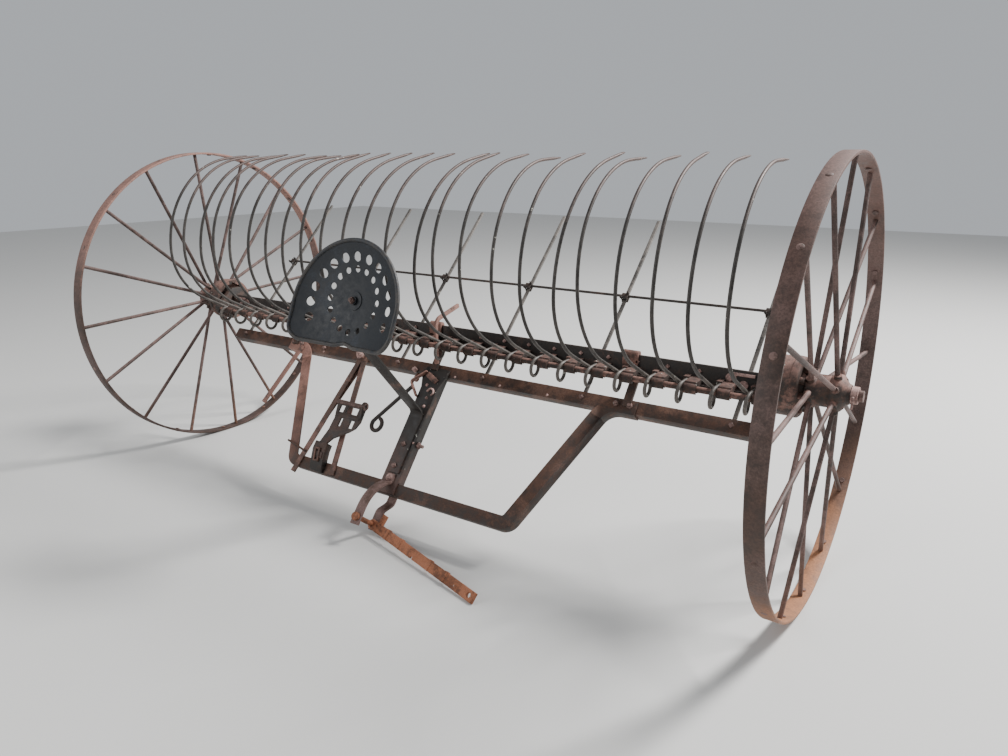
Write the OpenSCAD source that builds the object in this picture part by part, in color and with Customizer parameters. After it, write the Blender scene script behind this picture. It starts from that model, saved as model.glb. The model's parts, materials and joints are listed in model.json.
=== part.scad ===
// Self-dumping sulky hay rake, parked on its wheels and its hitch
// +X is the right-hand wheel, -Y is forward, +Z is up, and the origin is on the ground under the axle line

/* [Wheels] */
// Outside diameter of the flat steel rims
wheel_d = 1372; // [1200:2:1500]
// Width of a rim across the tread
rim_w = 51; // [38:1:76]
// Thickness of a rim
rim_t = 9; // [6:1:14]
// Distance over the outer faces of the two rims
wheels_over = 2922; // [2870:2:3200]
// Spokes in a wheel, an even number, every other one leaning out
spoke_count = 16; // [12:2:20]
// Diameter of a spoke
spoke_d = 15; // [10:1:18]

/* [Hubs] */
// Diameter of the ratchet bell at the inner end of a hub
bell_d = 184; // [150:2:210]
// Length of the ratchet bell
bell_len = 66; // [50:2:76]
// Diameter of the hub barrel
barrel_d = 96; // [84:2:110]
// Diameter of the spindle that the hub turns on
spindle_d = 34; // [28:1:42]
// Radial running clearance between spindle and hub
spindle_fit = 0.08; // [0.04:0.01:0.1]

/* [Rake head] */
// Number of rake teeth
tooth_count = 24; // [20:2:26]
// Distance from tooth to tooth
tooth_pitch = 107; // [80:1:108]
// Diameter of the tooth wire
tooth_d = 11; // [8:0.5:14]
// Mean radius of the spring coil at the root of a tooth
coil_r = 32; // [28:1:34]
// Leg of the head angle iron
head_leg = 64; // [50:1:70]
// Thickness of the head angle iron
head_t = 8; // [5:1:10]
// Diameter of the round rod that the teeth are clipped over
tooth_rod_d = 20; // [14:1:24]

/* [Front frame] */
// Angle by which the parked front frame hangs nose down
frame_pitch = 51; // [47:1:53]
// Length of the cross bar
cross_len = 2490; // [2000:10:2500]
// Leg of the frame angle irons
angle_leg = 48; // [38:1:54]
// Thickness of the frame angle irons
angle_t = 6; // [4:1:9]
// Width of the front bar of the draft frame, from bend to bend
draft_w = 1090; // [900:10:1200]
// Width of the draft frame where its legs meet the cross bar
draft_back_w = 1510; // [1300:10:1700]
// Diameter of the pins that hinge the rake head to the front frame
hinge_pin_d = 14; // [10:1:16]

/* [Cleaner rods] */
// Length of a cleaner rod
cleaner_len = 850; // [700:10:950]
// Width of a cleaner rod
cleaner_w = 20; // [14:1:30]
// Diameter of the rod that ties the cleaner rods together
cleaner_tie_d = 10; // [6:1:14]

/* [Seat] */
// Width of the seat pan
seat_w = 470; // [420:5:490]
// Depth of the seat pan from front to back
seat_l = 360; // [330:5:390]
// Thickness of the seat pan
seat_t = 4; // [3:0.5:6]
// Width of the flat seat spring
spring_w = 58; // [38:1:64]
// Thickness of the flat seat spring
spring_t = 8; // [6:1:12]
// Angle by which the seat tips back from the front frame
seat_pitch = 22; // [16:1:28]

/* [Hitch] */
// Length of the hitch link that has dropped to the ground, from its pin to its end
link_len = 618; // [450:2:680]
// Width of the hitch link
link_w = 36; // [34:1:50]
// Thickness of the hitch link
link_t = 10; // [6:1:14]
// Diameter of the hitch pin
hitch_pin_d = 19; // [14:1:24]

/* [Hidden] */
$fn = 48;

steel_dark = [0.20, 0.16, 0.15];
rust = [0.42, 0.24, 0.17];
rust_red = [0.55, 0.30, 0.24];
rust_orange = [0.62, 0.31, 0.18];
steel_grey = [0.33, 0.31, 0.30];
seat_blue = [0.11, 0.13, 0.17];

seat_gap = 0.3;
wire_lap = 1;
wire_step = 0.2;

axle_h = wheel_d / 2;
wheel_x = wheels_over / 2 - rim_w / 2;
rim_r = wheel_d / 2;
rim_in_r = rim_r - rim_t;
wheel_phase = [-1.7, 3.3];

// Hub stations along the axle, measured outward from the middle of the rim
bell_in = -134;
bell_out = bell_in + bell_len;
bell_depth = 40;
bell_wall = 9;
barrel_in = bell_out + 14;
flange_in = 18;
flange_out = 48;
nose_out = 70;
hub_bore_r = spindle_d / 2 + spindle_fit;
collar_in = nose_out + 1;
collar_out = nose_out + 20;
spindle_out = collar_out + 14;
linchpin_d = 8;
inner_row_x = barrel_in + 14;
outer_row_x = (flange_in + flange_out) / 2;
spoke_seat_r = barrel_d / 2 - 6;

// Rake head, about the axle line
head_y = -30;
head_back_y = head_y + head_t;
head_top = 32;
head_low = head_top - head_leg;
shelf_y = head_back_y - head_leg + 15;
casting_w = 24;
head_half = wheel_x + bell_in - 40;
rod_y = -104;
rod_z = -30;
coil_y = rod_y - 4;
coil_z = rod_z - 15;
holder_w = 40;
holder_in = 22;
socket_in = 5;
holder_back = head_y - 11;

// Front frame, in its own level attitude about the axle line
frame_z = -62;
frame_top = frame_z + angle_t;
cross_y = -166;
front_y = -668;
foot_len = 60;
hinge_x = [-820, -15, 820];
hinge_arm_w = 30;
hinge_eye_r = 15;
hinge_fit = 0.08;
ear_t = 12;
ear_gap = 1;

// Tongue and hitch
tongue_w = 80;
tongue_h = 35;
tongue_wall = 7;
tongue_end = -664;
tongue_top = frame_top + tongue_wall;
strap_w = 38;
strap_t = 9;
strap_z = 40;
fork_z = -70;
hitch_y = -790;
pin_gap = 0.5;
link_z = fork_z + strap_t / 2 + 11;
link_turn = 11.5;
link_end_y = hitch_y - link_len * sin(link_turn) - link_w / 2 * cos(link_turn);
link_end_x = link_len * cos(link_turn) - link_w / 2 * sin(link_turn);
link_rise = -(axle_h + link_end_y * sin(frame_pitch)) / cos(frame_pitch) - link_z;
link_tilt = asin(link_rise / norm([link_end_x, link_t / 2])) + atan2(link_t / 2, link_end_x);

// Seat and its spring, whose path starts on the tongue
spring_y = -585;
spring_rows = [[227, 30, 58 + seat_pitch], [439, 70, -58], [112, 0, 0]];
seat_back = 45;
dish_r = 530;

// Pedal, its bracket and its braces
pedal_x = -380;
pedal_z = -23;
brace_w = 24;
brace_t = 7;

function odd(i) = i % 2 == 1;
function tooth_x(i) = (i - (tooth_count - 1) / 2) * tooth_pitch;
cleaner_steps = [-11, -6, -2, 2, 6, 11];
cleaner_droop = 7;
cleaner_t = 8;
tie_at = 470;

module at_axle() {
    translate([0, 0, axle_h]) children();
}

module in_frame() {
    at_axle() rotate([frame_pitch, 0, 0]) children();
}

// A round rod from one point to another
module rod_between(p, q, d) {
    v = q - p;
    translate(p)
        rotate([0, acos(v[2] / norm(v)), atan2(v[1], v[0])])
            cylinder(d = d, h = norm(v));
}

// A round arc that starts at the origin along +X and bends left, lapped back into what it grows from
module wire_arc(d, r, a) {
    lap_a = wire_lap / r * 180 / PI;
    translate([0, r, 0])
        rotate(-90 - lap_a)
            rotate_extrude(angle = a + lap_a) translate([r, 0]) circle(d = d);
}

// A round wire in the XY plane that starts along +X: rows of [straight run, bend radius, bend angle to the left]
// Each piece is wire_step thinner than the one before, as a drawn tooth tapers to its tip
module tapered_wire(d, rows, i = 0) {
    if (i < len(rows)) {
        run = rows[i][0];
        bend_r = rows[i][1];
        bend_a = rows[i][2];
        if (run > 0)
            translate([-wire_lap, 0, 0]) rotate([0, 90, 0]) cylinder(d = d, h = run + wire_lap);
        translate([run, 0, 0]) {
            if (bend_a > 0)
                wire_arc(d - wire_step, bend_r, bend_a);
            translate([0, bend_r, 0])
                rotate(bend_a)
                    translate([0, -bend_r, 0]) tapered_wire(d - 2 * wire_step, rows, i + 1);
        }
    }
}

// An angle iron along +X with its heel on the X axis, one leg back along +Y and one down along -Z
module angle_profile(leg, t) {
    polygon([[0, 0], [leg, 0], [leg, -t], [t, -t], [t, -leg], [0, -leg]]);
}

module angle_iron(leg, t, len) {
    rotate([90, 0, 90]) linear_extrude(len) angle_profile(leg, t);
}

// An angle iron that starts along +X with its heel on the path: rows of [straight run, heel radius, bend angle]
// A positive angle bends to the side of the flat leg
module bent_angle(leg, t, rows, i = 0) {
    if (i < len(rows)) {
        run = rows[i][0];
        bend_r = rows[i][1];
        bend_a = rows[i][2];
        angle_iron(leg, t, run);
        translate([run, 0, 0]) {
            if (bend_a > 0)
                translate([0, bend_r, 0])
                    rotate(-90)
                        rotate_extrude(angle = bend_a)
                            translate([bend_r, 0]) mirror([1, 0]) angle_profile(leg, t);
            if (bend_a < 0)
                translate([0, -bend_r, 0])
                    rotate(90 + bend_a)
                        rotate_extrude(angle = -bend_a)
                            translate([bend_r, 0]) angle_profile(leg, t);
            turn_r = bend_a < 0 ? -bend_r : bend_r;
            translate([0, turn_r, 0])
                rotate(bend_a)
                    translate([0, -turn_r, 0]) bent_angle(leg, t, rows, i + 1);
        }
    }
}

// The centre line of a bent strip that starts at the origin along +X, as points of [x, y, heading]
// Rows of [straight run, centre radius, bend angle to the left]
function strip_path(rows, i = 0, p = [0, 0], a = 0) =
    i == len(rows) ? [] :
    let (run = rows[i][0], bend_r = rows[i][1], bend_a = rows[i][2],
        side = bend_a < 0 ? -1 : 1,
        q = p + run * [cos(a), sin(a)],
        mid = q + side * bend_r * [-sin(a), cos(a)],
        steps = ceil(abs(bend_a) / 6),
        bend = [for (k = [1 : steps])
            let (b = a + bend_a * k / steps)
            [mid[0] + side * bend_r * sin(b), mid[1] - side * bend_r * cos(b), b]],
        start = i == 0 ? [[p[0], p[1], a]] : [],
        straight = run > 0 ? [[q[0], q[1], a]] : [],
        done = steps > 0 ? [bend[steps - 1][0], bend[steps - 1][1]] : q)
    concat(start, straight, bend, strip_path(rows, i + 1, done, a + bend_a));

module strip_outline(rows, t) {
    path = strip_path(rows);
    last = len(path) - 1;
    polygon(concat(
        [for (s = path) [s[0] - t / 2 * sin(s[2]), s[1] + t / 2 * cos(s[2])]],
        [for (k = [last : -1 : 0]) [path[k][0] + t / 2 * sin(path[k][2]), path[k][1] - t / 2 * cos(path[k][2])]]));
}

// A flat strip seen from the side, which runs back or forward from a place on the front frame
module side_strip(start, rows, t, w, forward = false) {
    translate(start)
        rotate([90, 0, forward ? -90 : 90])
            linear_extrude(w, center = true) strip_outline(rows, t);
}

// Straight run between two equal and opposite bends that together rise by a height
function ramp_run(rise, bend_r, bend_a) = (rise - 2 * bend_r * (1 - cos(bend_a))) / sin(bend_a);

// A flat bar that lies on the plane of the front frame, from one point to another
module flat_bar(p, q, z, w, t) {
    v = q - p;
    translate([p[0], p[1], z])
        rotate(atan2(v[1], v[0]))
            translate([0, -w / 2, 0]) cube([norm(v), w, t]);
}

// Wheels

module on_wheel(side) {
    translate([side * wheel_x, 0, axle_h])
        mirror([side < 0 ? 1 : 0, 0, 0])
            rotate([0, 90, 0]) children();
}

module rim(side) {
    color(rust)
        on_wheel(side)
            rotate_extrude($fn = 120)
                translate([rim_in_r, -rim_w / 2]) square([rim_t, rim_w]);
}

module at_spokes(side) {
    for (i = [0 : spoke_count - 1])
        rotate(i * 360 / spoke_count + (side > 0 ? wheel_phase[0] : wheel_phase[1]))
            translate([0, 0, odd(i) ? outer_row_x : inner_row_x])
                rotate([0, atan2(rim_in_r, odd(i) ? -outer_row_x : -inner_row_x), 0]) children();
}

module spokes(side) {
    lean = atan2(outer_row_x, rim_in_r);
    reach = (rim_in_r - seat_gap - spoke_d / 2 * sin(lean)) / cos(lean);
    color(rust)
        on_wheel(side)
            at_spokes(side)
                translate([0, 0, spoke_seat_r])
                    cylinder(d = spoke_d, h = reach - spoke_seat_r);
}

// The inside of the ratchet bell, a ring of saw teeth
module ratchet_outline() {
    bell_teeth = 12;
    low_r = bell_d / 2 - bell_wall;
    polygon([for (i = [0 : bell_teeth - 1], k = [0, 1])
        (k == 0 ? low_r : low_r - 10) * [cos((i + 0.12 * k) * 360 / bell_teeth), sin((i + 0.12 * k) * 360 / bell_teeth)]]);
}

module hub(side) {
    color(rust_red)
        on_wheel(side)
            difference() {
                rotate_extrude($fn = 72)
                    polygon([[0, bell_in], [bell_d / 2, bell_in], [bell_d / 2, bell_out - 16],
                        [bell_d / 2 - 6, bell_out - 4], [bell_d / 2 - 18, bell_out], [barrel_d / 2 + 8, bell_out + 4],
                        [barrel_d / 2, barrel_in], [barrel_d / 2, flange_in], [barrel_d / 2 + 5, flange_in + 5],
                        [barrel_d / 2 + 5, flange_out - 5], [barrel_d / 2, flange_out],
                        [spindle_d / 2 + 15, nose_out - 8], [spindle_d / 2 + 12, nose_out], [0, nose_out]]);
                translate([0, 0, bell_in - 1]) linear_extrude(bell_depth + 1) ratchet_outline();
                translate([0, 0, bell_in - 1]) cylinder(r = hub_bore_r, h = nose_out - bell_in + 2);
                at_spokes(side)
                    translate([0, 0, spoke_seat_r - 1]) cylinder(d = spoke_d + 2 * seat_gap, h = barrel_d);
            }
}

// Rake head

module head_bar() {
    color(steel_dark)
        at_axle()
            translate([-head_half, 0, head_low]) {
                translate([0, head_y, 0]) cube([2 * head_half, head_t, head_leg]);
                translate([0, shelf_y, 0]) cube([2 * head_half, head_y - shelf_y, head_t]);
            }
}

// The arch of a hinge casting, which hooks over the top of the head bar from its front face
module lug_arch_outline() {
    lip = 9;
    difference() {
        union() {
            translate([head_y + head_t / 2, head_top]) circle(r = head_t / 2 + lip);
            translate([head_y - lip, -6]) square([head_t + 2 * lip, head_top + 6]);
        }
        translate([head_y - seat_gap, -7]) square([head_t + 2 * seat_gap, head_top + 7 + seat_gap]);
    }
    polygon([[head_back_y + seat_gap, -6], [head_back_y + lip, -6], [-2, hinge_eye_r], [head_back_y + lip, 28],
        [head_back_y + seat_gap, 28]]);
}

module head_lugs() {
    lug_w = hinge_arm_w + 2 * (ear_t + ear_gap);
    color(rust_red)
        at_axle()
            for (x = hinge_x) {
                translate([x, 0, 0])
                    rotate([90, 0, 90])
                        linear_extrude(lug_w, center = true)
                            difference() {
                                lug_arch_outline();
                                circle(r = hinge_eye_r + 4);
                            }
                for (s = [-1, 1])
                    translate([x + s * (hinge_arm_w / 2 + ear_gap + ear_t / 2), 0, 0])
                        rotate([90, 0, 90])
                            linear_extrude(ear_t, center = true)
                                difference() {
                                    union() {
                                        circle(r = hinge_eye_r);
                                        translate([head_back_y + seat_gap, -hinge_eye_r])
                                            square([-head_back_y - seat_gap, 2 * hinge_eye_r]);
                                    }
                                    circle(d = hinge_pin_d + 2 * hinge_fit);
                                }
            }
}

module hinge_pins() {
    color(steel_dark)
        at_axle()
            for (x = hinge_x)
                translate([x - 36, 0, 0]) rotate([0, 90, 0]) cylinder(d = hinge_pin_d, h = 72);
}

// Arms from the cross bar up to the hinge pins, set behind the sweep of the head bar
module hinge_arms() {
    arm_t = 12;
    arm_y = cross_y + 18;
    color(rust)
        in_frame()
            for (x = hinge_x)
                translate([x, 0, 0])
                    rotate([90, 0, 90])
                        linear_extrude(hinge_arm_w, center = true)
                            difference() {
                                union() {
                                    circle(r = hinge_eye_r);
                                    polygon([[arm_y, frame_top], [arm_y, frame_top + arm_t],
                                        [-44, frame_top + arm_t], [-hinge_eye_r, 0], [0, -hinge_eye_r],
                                        [-24, frame_top]]);
                                }
                                circle(d = hinge_pin_d + 2 * hinge_fit);
                            }
}

module tooth_rod() {
    color(rust_red)
        at_axle()
            translate([-head_half, rod_y, rod_z]) rotate([0, 90, 0]) cylinder(d = tooth_rod_d, h = 2 * head_half);
}

// Castings on the shelf of the head bar, each a clasp over the tooth rod beside a socket for a tooth's hook
module holder_clasp_outline() {
    shelf_top = head_low + head_t + seat_gap;
    difference() {
        union() {
            translate([rod_y, rod_z]) circle(r = tooth_rod_d / 2 + 7);
            polygon([[rod_y - 4, rod_z + tooth_rod_d / 2], [rod_y + 2, rod_z + tooth_rod_d / 2 + 12],
                [holder_back - 5, rod_z + 25], [holder_back, rod_z + 20], [holder_back, shelf_top],
                [shelf_y - 3, shelf_top], [shelf_y - 3, rod_z - 6], [rod_y, rod_z - 6]]);
        }
        translate([rod_y, rod_z]) circle(r = tooth_rod_d / 2 + seat_gap);
        translate([rod_y - 4, rod_z - 30]) square([12, 30]);
    }
}

module tooth_holders() {
    socket_t = 22;
    color(rust_red)
        at_axle()
            for (i = [0 : tooth_count - 1]) {
                clasp_end = min(tooth_x(i) + holder_in + holder_w, head_half - seat_gap);
                difference() {
                    union() {
                        translate([tooth_x(i) + holder_in, 0, 0])
                            rotate([90, 0, 90])
                                linear_extrude(clasp_end - tooth_x(i) - holder_in) holder_clasp_outline();
                        translate([tooth_x(i) + socket_in, shelf_y - 1, head_low + head_t + seat_gap])
                            cube([holder_in - socket_in + 1, holder_back - shelf_y + 1, socket_t]);
                    }
                    translate([tooth_x(i), 0, 0])
                        at_hook()
                            translate([-20, 0, 0])
                                rotate([0, 90, 0]) cylinder(d = tooth_d + 2 * seat_gap, h = hook_len + 21);
                }
            }
}

// Tooth from the coil to the tip, rows of [straight run, bend radius, bend angle]
tooth_rows = [[130, 245, 66], [0, 430, 42], [0, 370, 38], [110, 0, 0]];
tooth_start_a = 152;
coil_step_a = -6.5;
hook_turn = 150;
hook_len = 62;

// Goes from a tooth's own place to the end of its coil, where the hook starts along +X
module at_hook() {
    rotate([90, 0, 90])
        translate([coil_y, coil_z, 0])
            rotate(tooth_start_a)
                translate([0, -coil_r, 0])
                    rotate([0, 0, 180])
                        rotate([coil_step_a, 0, 0])
                            mirror([0, 1, 0])
                                translate([0, 2 * coil_r, 0])
                                    rotate(180)
                                        rotate([-2 * coil_step_a, 0, 0])
                                            translate([0, coil_r, 0])
                                                rotate(hook_turn)
                                                    translate([0, -coil_r, 0]) children();
}

// A tooth in the plane X = 0 about the axle line, drawn with X as forward-back and Y as up
// Its coil is two arcs that lean opposite ways, so that the second end stands clear beside the first
module tooth() {
    $fn = 24;
    rotate([90, 0, 90])
        translate([coil_y, coil_z, 0])
            rotate(tooth_start_a)
                translate([0, -coil_r, 0]) {
                    mirror([0, 1, 0]) tapered_wire(tooth_d - wire_step, tooth_rows);
                    rotate([0, 0, 180])
                        rotate([coil_step_a, 0, 0])
                            mirror([0, 1, 0]) {
                                wire_arc(tooth_d, coil_r, 180);
                                translate([0, 2 * coil_r, 0])
                                    rotate(180)
                                        rotate([-2 * coil_step_a, 0, 0])
                                            wire_arc(tooth_d - wire_step, coil_r, hook_turn);
                            }
                }
    at_hook()
        translate([-wire_lap, 0, 0])
            rotate([0, 90, 0]) cylinder(d = tooth_d - 2 * wire_step, h = hook_len);
}

module teeth() {
    color(steel_grey)
        at_axle()
            for (i = [0 : tooth_count - 1])
                translate([tooth_x(i), 0, 0]) tooth();
}

// A flat lever against the shelf of the head bar, bent back over its top
module hand_lever() {
    lever_t = 16;
    color(rust_red)
        at_axle()
            translate([22, 0, 0])
                rotate([90, 0, 90])
                    translate([shelf_y - seat_gap - lever_t / 2, -110])
                        rotate(90)
                            linear_extrude(10, center = true) strip_outline([[145, 35, -76], [121, 0, 0]], lever_t);
}

// Castings at the ends of the head bar, with a boss that fills the mouth of the ratchet bell
module end_castings() {
    boss_r = 52;
    color(steel_dark)
        at_axle()
            for (s = [0, 1])
                mirror([s, 0, 0])
                    translate([head_half + seat_gap, 0, 0])
                        rotate([90, 0, 90]) {
                            linear_extrude(casting_w)
                                polygon([[rod_y - 16, rod_z - 16], [rod_y - 16, rod_z + 16], [-64, 34], [-30, 62],
                                    [16, 62], [42, 20], [-6, 8 - boss_r]]);
                            cylinder(r = boss_r, h = wheel_x + bell_in + bell_depth - 8 - head_half);
                        }
}

module linchpin_hole(d) {
    translate([0, 0, wheel_x + collar_in + 9]) rotate([90, 0, 0]) cylinder(d = d, h = 2 * spindle_d, center = true);
}

module spindles() {
    spindle_in = wheel_x + bell_in + bell_depth - 8 + seat_gap;
    color(steel_grey)
        at_axle()
            for (s = [0, 1])
                mirror([s, 0, 0])
                    rotate([0, 90, 0])
                        difference() {
                            translate([0, 0, spindle_in]) cylinder(d = spindle_d, h = wheel_x + spindle_out - spindle_in);
                            linchpin_hole(linchpin_d + 2 * seat_gap);
                        }
}

// Collars that keep the wheels on, each with a bent linchpin through it
module spindle_collars() {
    collar_r = spindle_d / 2 + 9;
    reach = 12;
    color(rust_red)
        at_axle()
            for (s = [0, 1])
                mirror([s, 0, 0])
                    rotate([0, 90, 0]) {
                        difference() {
                            translate([0, 0, wheel_x + collar_in]) cylinder(r = collar_r, h = collar_out - collar_in);
                            translate([0, 0, wheel_x]) cylinder(r = spindle_d / 2 + seat_gap, h = spindle_out);
                        }
                        translate([0, 0, wheel_x + collar_in + 9])
                            rotate([90, 0, 0]) {
                                translate([0, 0, -collar_r - reach]) cylinder(d = linchpin_d, h = 2 * (collar_r + reach));
                                translate([0, 0, collar_r + reach - linchpin_d / 2])
                                    rotate([0, 90, 0]) cylinder(d = linchpin_d - wire_step, h = 34);
                            }
                    }
}

// Front frame

module cross_bar() {
    color(rust)
        in_frame()
            translate([-cross_len / 2, cross_y, frame_z]) angle_iron(angle_leg, angle_t, cross_len);
}

// The draft frame is one angle iron bent round the front, and its feet nest over the cross bar
module draft_frame() {
    bend_r = 60;
    run_y = cross_y - angle_t - front_y;
    splay = atan2(run_y, (draft_back_w - draft_w) / 2);
    side_len = (run_y - 2 * bend_r * (1 - cos(splay))) / sin(splay);
    rows = [[draft_w / 2 - bend_r * tan(splay / 2), bend_r, splay], [side_len, bend_r, -splay],
        [foot_len, bend_r, 0]];
    color(rust)
        in_frame()
            translate([0, front_y, frame_z + angle_t])
                for (s = [0, 1])
                    mirror([s, 0, 0]) bent_angle(angle_leg, angle_t, rows);
}

// The tongue is a web that lies on both bars, packed level on the cross bar, with flanges that hang between them
module tongue() {
    flange_front = front_y + angle_leg + 3;
    root_w = tongue_w + 36;
    color(rust)
        in_frame() {
            translate([0, 0, frame_top])
                linear_extrude(tongue_wall)
                    polygon([[-tongue_w / 2, tongue_end], [tongue_w / 2, tongue_end], [tongue_w / 2, cross_y - 60],
                        [root_w / 2, cross_y - 8], [root_w / 2, cross_y + 16], [-root_w / 2, cross_y + 16],
                        [-root_w / 2, cross_y - 8], [-tongue_w / 2, cross_y - 60]]);
            translate([-root_w / 2, cross_y, frame_z]) cube([root_w, 30, angle_t]);
            for (s = [0, 1])
                mirror([s, 0, 0])
                    translate([tongue_w / 2 - tongue_wall, flange_front, frame_top - tongue_h])
                        cube([tongue_wall, cross_y - 3 - flange_front, tongue_h + 1]);
        }
}

// Upper strap that arches from the tongue, and lower fork that comes out under the front bar
module hitch_clevis() {
    upper_a = 62;
    foot_r = 20;
    fork_a = 40;
    lift_a = 45;
    fork_r = 24;
    under_z = frame_top - angle_leg - strap_t / 2 - seat_gap;
    back_z = frame_top - strap_t / 2 - seat_gap;
    upper_start = tongue_top + strap_t / 2;
    arch_r = (strap_z - upper_start) / (1 - cos(upper_a)) - foot_r;
    color(rust)
        in_frame()
            difference() {
                union() {
                    side_strip([0, spring_y - 5, upper_start],
                        [[22, foot_r, upper_a], [0, arch_r, -upper_a], [65, 0, 0]], strap_t, strap_w, true);
                    side_strip([0, -540, back_z],
                        [[30, fork_r, -fork_a], [ramp_run(back_z - under_z, fork_r, fork_a), fork_r, fork_a],
                            [40, fork_r, lift_a], [ramp_run(fork_z - under_z, fork_r, lift_a), fork_r, -lift_a],
                            [68, 0, 0]], strap_t, strap_w, true);
                }
                translate([0, hitch_y, fork_z - 40]) cylinder(d = hitch_pin_d + 2 * pin_gap, h = 240);
            }
}

module hitch_pin() {
    head_h = 12;
    tail = 16;
    pin_low = fork_z - strap_t / 2 - tail;
    color(rust_orange)
        in_frame()
            translate([0, hitch_y, 0]) {
                translate([0, 0, pin_low]) cylinder(d = hitch_pin_d, h = strap_z + strap_t / 2 + seat_gap - pin_low);
                translate([0, 0, strap_z + strap_t / 2 + seat_gap]) cylinder(d = hitch_pin_d + 12, h = head_h);
            }
}

// The link hangs on the hitch pin and its far end rests on the ground
module hitch_link() {
    eye_in = 26;
    eye_d = 18;
    band_w = 13;
    band_t = 2.5;
    band_at = [100, 185, 365, 455];
    notch_at = 270;
    lug_w = 24;
    lug_h = 36;
    color(rust_orange)
        in_frame()
            translate([0, hitch_y, link_z])
                rotate([0, -link_tilt, 0])
                    rotate(-link_turn)
                        difference() {
                            union() {
                                translate([0, -link_w / 2, -link_t / 2]) cube([link_len, link_w, link_t]);
                                translate([0, 0, -link_t / 2]) cylinder(d = link_w, h = link_t);
                                for (x = band_at)
                                    translate([x, -link_w / 2, -link_t / 2 - band_t])
                                        cube([band_w, link_w + band_t, link_t + 2 * band_t]);
                                translate([34, link_w / 2, -link_t / 2]) cube([lug_w, lug_h, link_t]);
                            }
                            translate([0, 0, -link_t]) cylinder(d = hitch_pin_d + 3, h = 2 * link_t);
                            translate([notch_at, -link_w / 2 - 1, -link_t]) cube([12, 9, 2 * link_t]);
                            translate([link_len - eye_in, 0, -link_t]) cylinder(d = eye_d, h = 2 * link_t);
                        }
}

// Outline of the seat pan seen from above, with its front edge towards -Y
module seat_outline() {
    corner_r = 60;
    notch_r = 60;
    rim_shift = 36;
    front = seat_l + rim_shift - seat_w / 2 - 2;
    intersection() {
        translate([0, -rim_shift]) circle(d = seat_w + 4, $fn = 96);
        difference() {
            union() {
                translate([-seat_w / 2, corner_r - front]) square([seat_w, seat_l]);
                translate([corner_r - seat_w / 2, -front]) square([seat_w - 2 * corner_r, seat_l]);
                for (s = [-1, 1]) translate([s * (seat_w / 2 - corner_r), corner_r - front]) circle(r = corner_r);
            }
            translate([0, -front - notch_r + 10]) circle(r = notch_r);
        }
    }
}

// Two rings of round holes pressed through the seat
module seat_holes() {
    outer_n = 13;
    outer_r = seat_w * 0.38;
    inner_n = 16;
    inner_r = seat_w * 0.23;
    for (i = [0 : outer_n - 1])
        translate([0, -30]) rotate(-15 + i * 210 / (outer_n - 1)) translate([outer_r, 0]) circle(d = 33);
    for (i = [0 : inner_n - 1])
        rotate(i * 360 / inner_n) translate([inner_r, 0]) circle(d = 23);
}

module seat_pan() {
    boss_d = 64;
    path = strip_path(spring_rows);
    tip = path[len(path) - 1];
    up = spring_t / 2;
    color(seat_blue)
        in_frame()
            translate([0, spring_y + tip[0], tongue_top + up + tip[1]])
                rotate([tip[2], 0, 0])
                    translate([0, -seat_back, up]) {
                        intersection() {
                            translate([0, 0, dish_r])
                                difference() {
                                    sphere(r = dish_r, $fn = 160);
                                    sphere(r = dish_r - seat_t, $fn = 160);
                                }
                            linear_extrude(120) difference() { seat_outline(); seat_holes(); }
                        }
                        cylinder(d = boss_d, h = seat_t + 4);
                        cylinder(d = 30, h = seat_t + 12);
                    }
}

module seat_spring() {
    color(steel_dark)
        in_frame()
            side_strip([0, spring_y, tongue_top + spring_t / 2], spring_rows, spring_t, spring_w);
}

// Two flat braces that rise from the front bar to one bolt block on the cross bar
module pedal_braces() {
    top = [pedal_x - 16, cross_y + 14];
    color(rust)
        in_frame() {
            flat_bar([pedal_x - 112, front_y - 26], top + [-8, 0], frame_top, brace_w, brace_t);
            flat_bar([pedal_x + 93, front_y + 4], top + [10, 0], frame_top, brace_w, brace_t);
            translate([top[0] - 24, cross_y - 2, frame_z]) cube([50, 40, angle_t + brace_t + 6]);
            translate([top[0] - 12, cross_y + 6, frame_top + brace_t]) cube([24, 24, 20]);
        }
}

module brace_tie() {
    tie_d = 9;
    color(rust)
        in_frame()
            rod_between([-592, front_y + 92, frame_top + tie_d / 2 + seat_gap],
                [pedal_x - 86, front_y + 66, frame_top + brace_t + tie_d / 2 + 6 * seat_gap], tie_d);
}

// A leaning casting on the front bar whose socket holds the neck of the pedal
module pedal_bracket() {
    bracket_w = 66;
    socket_w = 40 + 2 * seat_gap;
    socket_top = pedal_z + 11;
    color(steel_dark)
        in_frame()
            translate([pedal_x + 8, 0, 0])
                difference() {
                    rotate([90, 0, 90])
                        linear_extrude(bracket_w, center = true)
                            polygon([[front_y + 2, frame_top], [front_y + 48, frame_top], [-580, pedal_z - 22],
                                [-552, pedal_z - 20], [-552, socket_top], [-584, socket_top],
                                [front_y + 30, frame_top + 24], [front_y + 2, frame_top + 12]]);
                    translate([-socket_w / 2, -610, pedal_z - 4 - seat_gap]) cube([socket_w, 80, 8 + 2 * seat_gap]);
                }
}

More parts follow.
